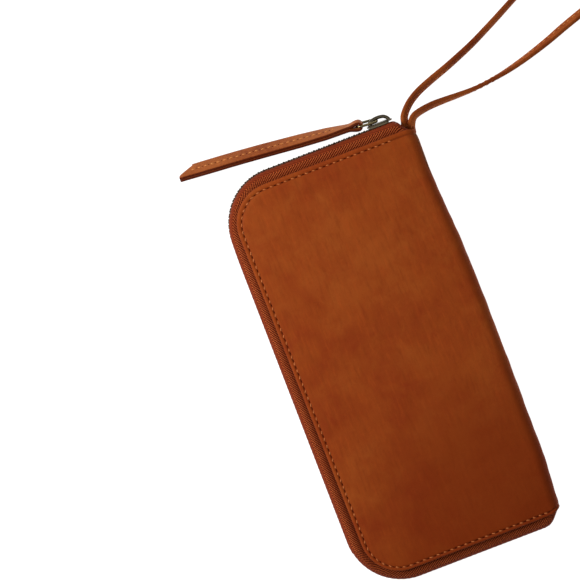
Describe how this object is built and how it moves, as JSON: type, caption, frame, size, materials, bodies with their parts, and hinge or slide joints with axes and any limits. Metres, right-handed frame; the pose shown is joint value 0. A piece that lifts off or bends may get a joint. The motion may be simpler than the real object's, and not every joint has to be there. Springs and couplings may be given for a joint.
{
  "type": "zip around wallet",
  "caption": "Long tan leather zip-around wallet with folded leather zip pull, wrist strap, card slots, bill compartments and zipped coin pocket.",
  "frame": {"origin": "centre of the back cover's flat outer face, on which the closed wallet lies", "axes": "+X towards the spine, +Y towards the short side that carries the closed slider, +Z from back cover to front cover"},
  "size_m": [0.2468, 0.2502, 0.024],
  "materials": {
    "cover_leather": "waxed tan full-grain, fine pebble, mottled",
    "inner_leather": "smooth tan",
    "strap_leather": "light tan, burnished dark edges, stitched",
    "lining_fabric": "plain weave",
    "board": "bonded board, hidden",
    "zip_tape": "rust-brown herringbone tape",
    "teeth_metal": "antique dark",
    "slider_metal": "antique gunmetal",
    "coil": "woven coil"
  },
  "bodies": {
    "back": {"cover_back": "cover_leather", "stiffener_back": "board", "lining_back": "lining_fabric", "card_panel_back": "inner_leather", "card_slot_back_1": "inner_leather", "card_slot_back_2": "inner_leather", "card_slot_back_3": "inner_leather", "zip_tape_back": "zip_tape", "zip_teeth_back": "teeth_metal", "zip_top_stop_back": "teeth_metal", "zip_bottom_stop": "teeth_metal", "gusset_back_slider_end": "inner_leather", "gusset_back_far_end": "inner_leather", "strap_anchor": "inner_leather", "wrist_strap": "strap_leather"},
    "front": {"cover_front": "cover_leather", "stiffener_front": "board", "lining_front": "lining_fabric", "card_panel_front": "inner_leather", "card_slot_front_1": "inner_leather", "card_slot_front_2": "inner_leather", "card_slot_front_3": "inner_leather", "zip_tape_front": "zip_tape", "zip_teeth_front": "teeth_metal", "zip_top_stop_front": "teeth_metal"},
    "divider": {"coin_pocket": "inner_leather", "coin_zip_tape_back": "zip_tape", "coin_zip_tape_front": "zip_tape", "coin_zip_coil": "coil", "coin_zip_stop": "slider_metal", "gusset_front_slider_end": "inner_leather", "gusset_front_far_end": "inner_leather"},
    "slider": {"zip_slider": "slider_metal", "zip_slider_bail": "slider_metal"},
    "link": {"pull_link": "slider_metal"},
    "pull": {"pull_strap": "strap_leather"},
    "coin_slider": {"coin_zip_slider": "slider_metal"},
    "coin_pull": {"coin_zip_pull": "slider_metal"}
  },
  "joints": [
    {"name": "cover_hinge", "type": "hinge", "parent": "back", "child": "front", "pos_m": [0.048, 0, 0.012], "axis": [0, 1, 0], "range_deg": [0, 60], "deforming": ["gusset_front_slider_end", "gusset_front_far_end"]},
    {"name": "divider_hinge", "type": "hinge", "parent": "back", "child": "divider", "pos_m": [0.048, 0, 0.012], "axis": [0, 1, 0], "range_deg": [0, 30], "deforming": ["gusset_back_slider_end", "gusset_back_far_end"]},
    {"name": "zip_slide", "type": "slide", "parent": "back", "child": "slider", "axis": [-1, 0, 0], "range_m": [0, 0.048], "deforming": ["zip_teeth_back", "zip_teeth_front"]},
    {"name": "link_swing", "type": "hinge", "parent": "slider", "child": "link", "pos_m": [0.0314, 0.0998, 0.012], "axis": [0, 0, 1], "range_deg": [-100, 0]},
    {"name": "pull_swing", "type": "hinge", "parent": "link", "child": "pull", "pos_m": [0.02214, 0.10066, 0.01219], "axis": [0, -0.22, 0.9755], "range_deg": [-40, 3]},
    {"name": "coin_zip_slide", "type": "slide", "parent": "divider", "child": "coin_slider", "axis": [0, -1, 0], "range_m": [0, 0.136], "deforming": ["coin_zip_coil"]},
    {"name": "coin_pull_swing", "type": "hinge", "parent": "coin_slider", "child": "coin_pull", "pos_m": [-0.03285, 0.0665, 0.012], "axis": [0, 0, 1], "range_deg": [-150, 0]}
  ],
  "couplings": [
    {"joint": "divider_hinge", "follows": "cover_hinge", "ratio": 0.5}
  ]
}
